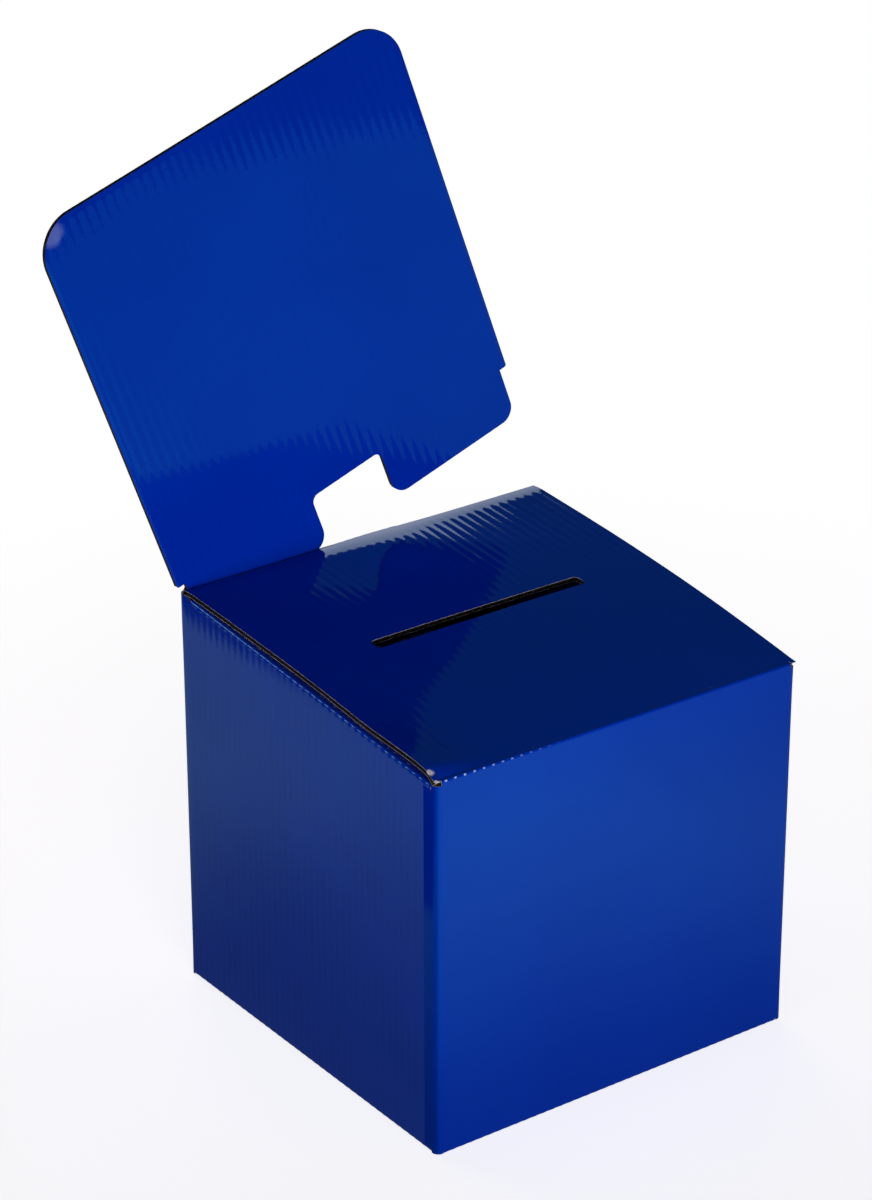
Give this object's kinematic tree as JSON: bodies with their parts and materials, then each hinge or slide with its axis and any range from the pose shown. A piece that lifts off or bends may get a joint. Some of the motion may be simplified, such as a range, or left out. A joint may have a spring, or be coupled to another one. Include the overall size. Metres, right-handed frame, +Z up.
{
  "type": "ballot box",
  "caption": "Folded corrugated-board ballot box with a sloping lid, a vote slot and a header board that plugs in behind the lid.",
  "frame": {"origin": "middle of the box's underside, on the outer face of the front bottom flap", "axes": "+Z up, front of the box towards -Y, header board on the +Y side"},
  "size_m": [0.3296, 0.2641, 0.5637],
  "materials": {
    "printed_liner": "gloss laminated royal blue print",
    "fluting": "raw kraft medium",
    "plain_liner": "raw kraft liner",
    "crushed_fold": "gloss laminated royal blue print over crushed board"
  },
  "bodies": {
    "box": {"front_wall_printed_liner": "printed_liner", "front_wall_fluting": "fluting", "front_wall_plain_liner": "plain_liner", "back_wall_printed_liner": "printed_liner", "back_wall_fluting": "fluting", "back_wall_plain_liner": "plain_liner", "left_wall_printed_liner": "printed_liner", "left_wall_fluting": "fluting", "left_wall_plain_liner": "plain_liner", "right_wall_printed_liner": "printed_liner", "right_wall_fluting": "fluting", "right_wall_plain_liner": "plain_liner", "glue_flap_printed_liner": "printed_liner", "glue_flap_fluting": "fluting", "glue_flap_plain_liner": "plain_liner", "front_left_corner_fold": "crushed_fold", "front_right_corner_fold": "crushed_fold", "back_left_corner_fold": "crushed_fold", "back_right_corner_fold": "crushed_fold"},
    "lid": {"lid_printed_liner": "printed_liner", "lid_fluting": "fluting", "lid_plain_liner": "plain_liner", "tongue_crease_fold": "crushed_fold"},
    "tongue": {"tongue_printed_liner": "printed_liner", "tongue_fluting": "fluting", "tongue_plain_liner": "plain_liner"},
    "left_dust_flap": {"left_dust_flap_printed_liner": "printed_liner", "left_dust_flap_fluting": "fluting", "left_dust_flap_plain_liner": "plain_liner"},
    "right_dust_flap": {"right_dust_flap_printed_liner": "printed_liner", "right_dust_flap_fluting": "fluting", "right_dust_flap_plain_liner": "plain_liner"},
    "bottom_front_flap": {"bottom_front_flap_printed_liner": "printed_liner", "bottom_front_flap_fluting": "fluting", "bottom_front_flap_plain_liner": "plain_liner"},
    "bottom_back_flap": {"bottom_back_flap_printed_liner": "printed_liner", "bottom_back_flap_fluting": "fluting", "bottom_back_flap_plain_liner": "plain_liner"},
    "bottom_left_flap": {"bottom_left_flap_printed_liner": "printed_liner", "bottom_left_flap_fluting": "fluting", "bottom_left_flap_plain_liner": "plain_liner"},
    "bottom_right_flap": {"bottom_right_flap_printed_liner": "printed_liner", "bottom_right_flap_fluting": "fluting", "bottom_right_flap_plain_liner": "plain_liner"},
    "header": {"header_printed_liner": "printed_liner", "header_fluting": "fluting", "header_plain_liner": "plain_liner"}
  },
  "joints": [
    {"name": "lid_hinge", "type": "hinge", "parent": "box", "child": "lid", "pos_m": [0, -0.127, 0.235], "axis": [1, 0, 0], "range_deg": [0, 135]},
    {"name": "tongue_hinge", "type": "hinge", "parent": "lid", "child": "tongue", "pos_m": [0, 0.1207, 0.25402], "axis": [-1, 0, 0], "range_deg": [0, 70]},
    {"name": "left_dust_flap_hinge", "type": "hinge", "parent": "box", "child": "left_dust_flap", "pos_m": [-0.127, 0, 0.24319], "axis": [0, -0.9959, -0.0902], "range_deg": [0, 90]},
    {"name": "right_dust_flap_hinge", "type": "hinge", "parent": "box", "child": "right_dust_flap", "pos_m": [0.127, 0, 0.24319], "axis": [0, 0.9959, 0.0902], "range_deg": [0, 90]},
    {"name": "header_tilt", "type": "hinge", "parent": "box", "child": "header", "pos_m": [-0.12389, 0.12181, 0.24827], "axis": [0, -0.999, 0.0436], "range_deg": [-18.9, 8]},
    {"name": "bottom_front_flap_hinge", "type": "hinge", "parent": "box", "child": "bottom_front_flap", "pos_m": [0, -0.127, 0], "axis": [-1, 0, 0], "range_deg": [0, 90]},
    {"name": "bottom_back_flap_hinge", "type": "hinge", "parent": "box", "child": "bottom_back_flap", "pos_m": [0, 0.127, 0], "axis": [1, 0, 0], "range_deg": [0, 90]},
    {"name": "bottom_left_flap_hinge", "type": "hinge", "parent": "box", "child": "bottom_left_flap", "pos_m": [-0.127, 0, 0.0033], "axis": [0, 1, 0], "range_deg": [0, 90]},
    {"name": "bottom_right_flap_hinge", "type": "hinge", "parent": "box", "child": "bottom_right_flap", "pos_m": [0.127, 0, 0.0033], "axis": [0, -1, 0], "range_deg": [0, 90]}
  ],
  "couplings": [
    {"joint": "left_dust_flap_hinge", "follows": "lid_hinge", "ratio": 0.66667},
    {"joint": "right_dust_flap_hinge", "follows": "lid_hinge", "ratio": 0.66667},
    {"joint": "bottom_back_flap_hinge", "follows": "bottom_front_flap_hinge", "ratio": 1},
    {"joint": "bottom_left_flap_hinge", "follows": "bottom_front_flap_hinge", "ratio": 1},
    {"joint": "bottom_right_flap_hinge", "follows": "bottom_front_flap_hinge", "ratio": 1}
  ]
}
